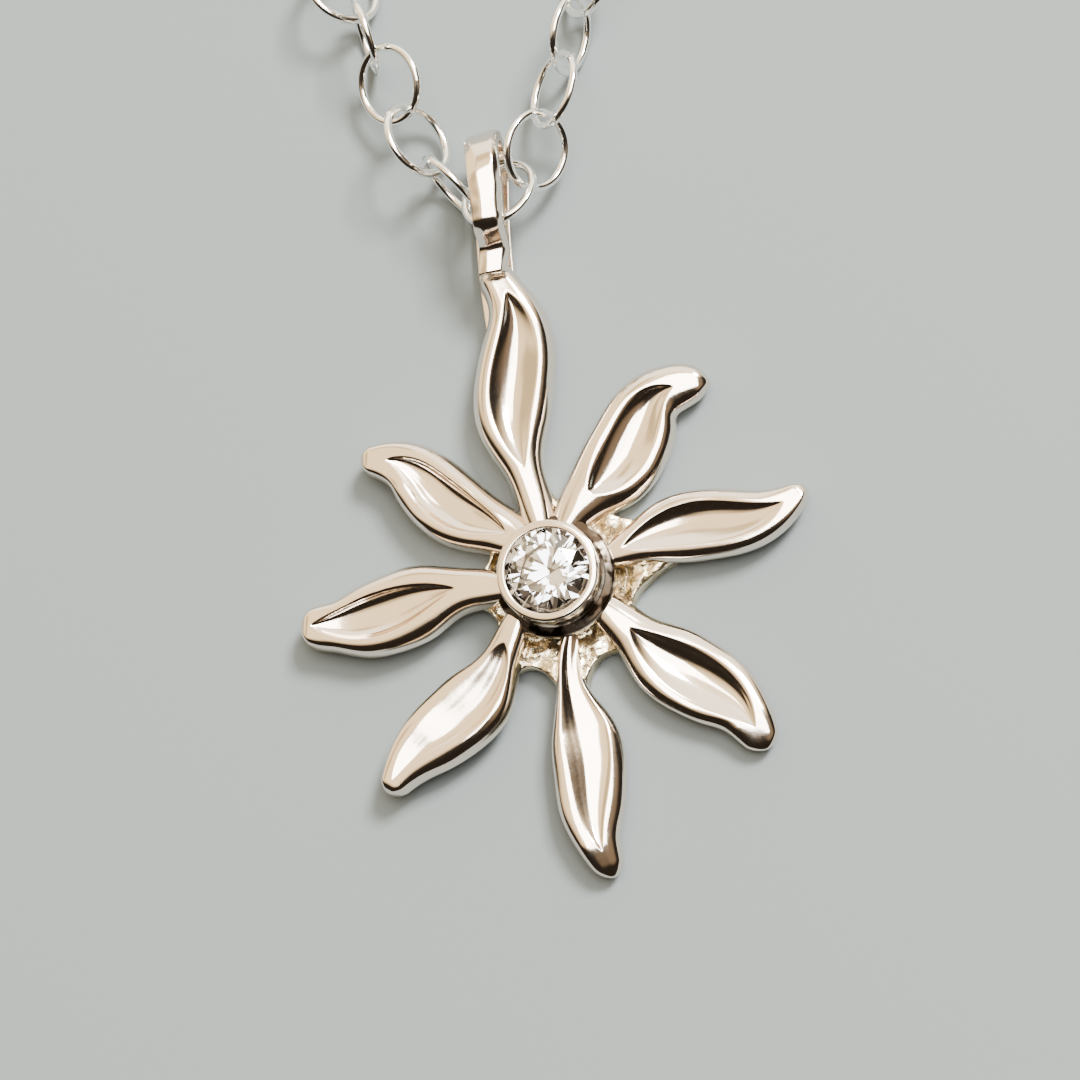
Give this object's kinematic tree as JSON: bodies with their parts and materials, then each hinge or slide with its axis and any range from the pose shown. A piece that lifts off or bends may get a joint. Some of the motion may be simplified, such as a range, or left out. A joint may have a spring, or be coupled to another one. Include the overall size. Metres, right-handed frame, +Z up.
{
  "type": "pendant necklace",
  "caption": "Star pendant of curved, hollowed petals round a set clear stone, on a folded bail and a light chain of round links with a ring clasp.",
  "frame": {"origin": "under the middle of the whole necklace's box, on the surface that it lies on", "axes": "+Y from the pendant towards the clasp, +Z up out of the pendant's face, +X to the right of the face"},
  "size_m": [0.1038, 0.2184, 0.004],
  "materials": {
    "pendant_silver": "polished cast silver, slightly warm",
    "chain_silver": "bright drawn silver wire",
    "clear_stone": "clear, cut and polished"
  },
  "bodies": {
    "root": {"star": "pendant_silver", "round_stone": "clear_stone", "chain_left": "chain_silver", "chain_right": "chain_silver", "clasp": "chain_silver", "end_ring": "chain_silver"}
  },
  "joints": []
}
